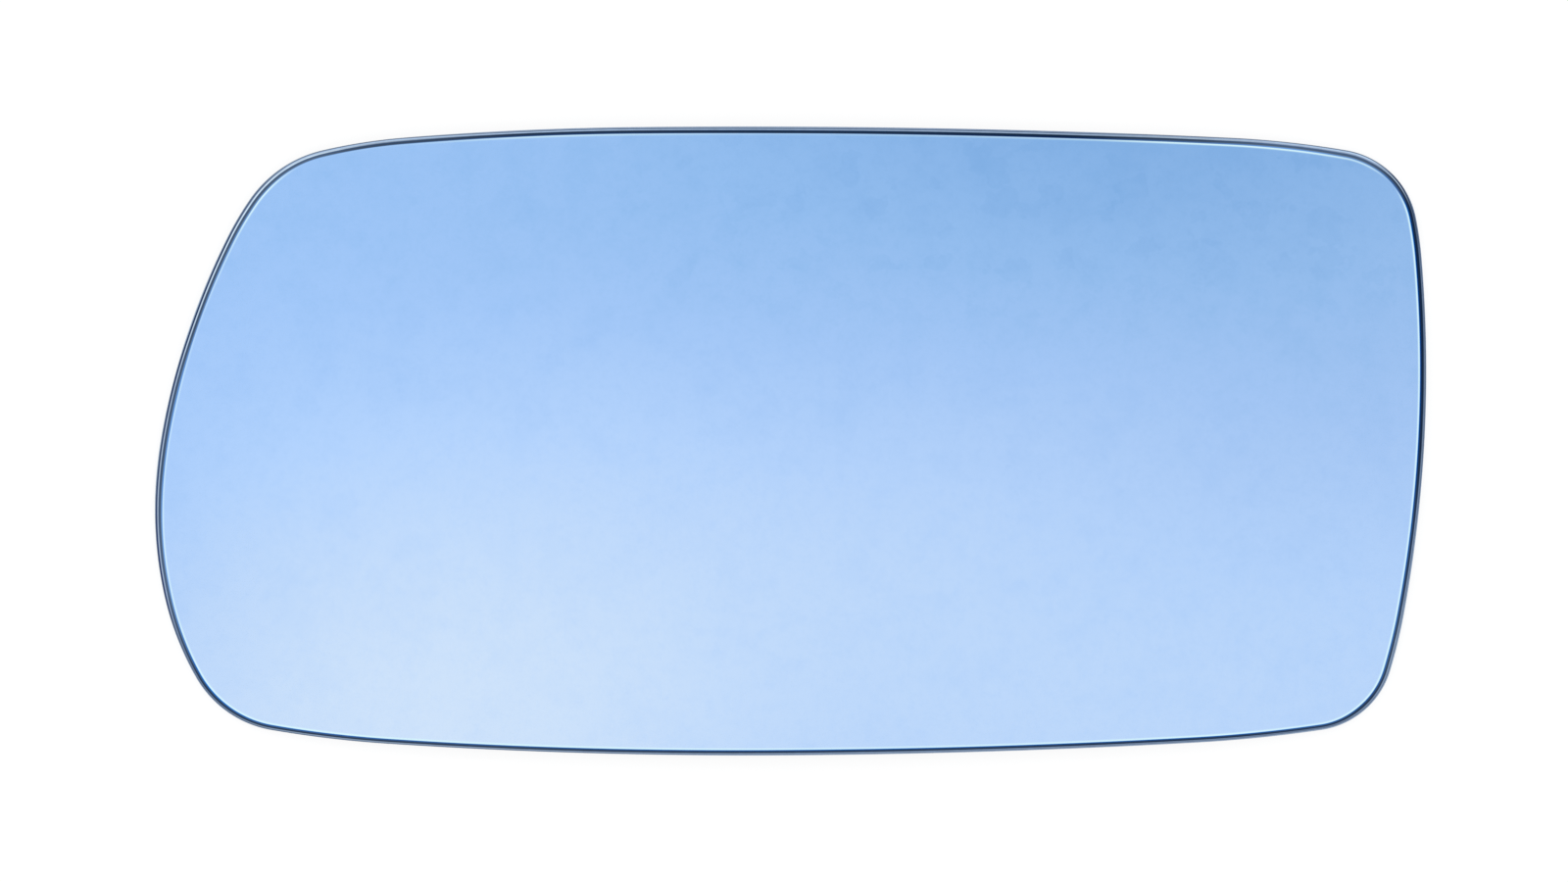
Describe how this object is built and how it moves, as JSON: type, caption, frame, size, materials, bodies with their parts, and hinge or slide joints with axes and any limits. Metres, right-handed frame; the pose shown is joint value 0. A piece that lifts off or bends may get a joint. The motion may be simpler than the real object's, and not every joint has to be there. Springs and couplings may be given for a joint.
{
  "type": "car door mirror glass",
  "caption": "Bare convex glass of a car door mirror: a wide pane with four differently rounded corners, bent to a shallow dome, blue-silvered, with a pencil-ground edge.",
  "frame": {"origin": "on the plane that the rim rests on, below the middle of the outline's box", "axes": "+X across the glass towards its blunt end, which is to the right when the mirror face is looked at; +Y up the glass as it is fitted; +Z out of the mirror face, which lies upward"},
  "size_m": [0.18, 0.089, 0.005],
  "materials": {
    "mirror": "polished"
  },
  "bodies": {
    "root": {"mirror_glass": "mirror"}
  },
  "joints": []
}
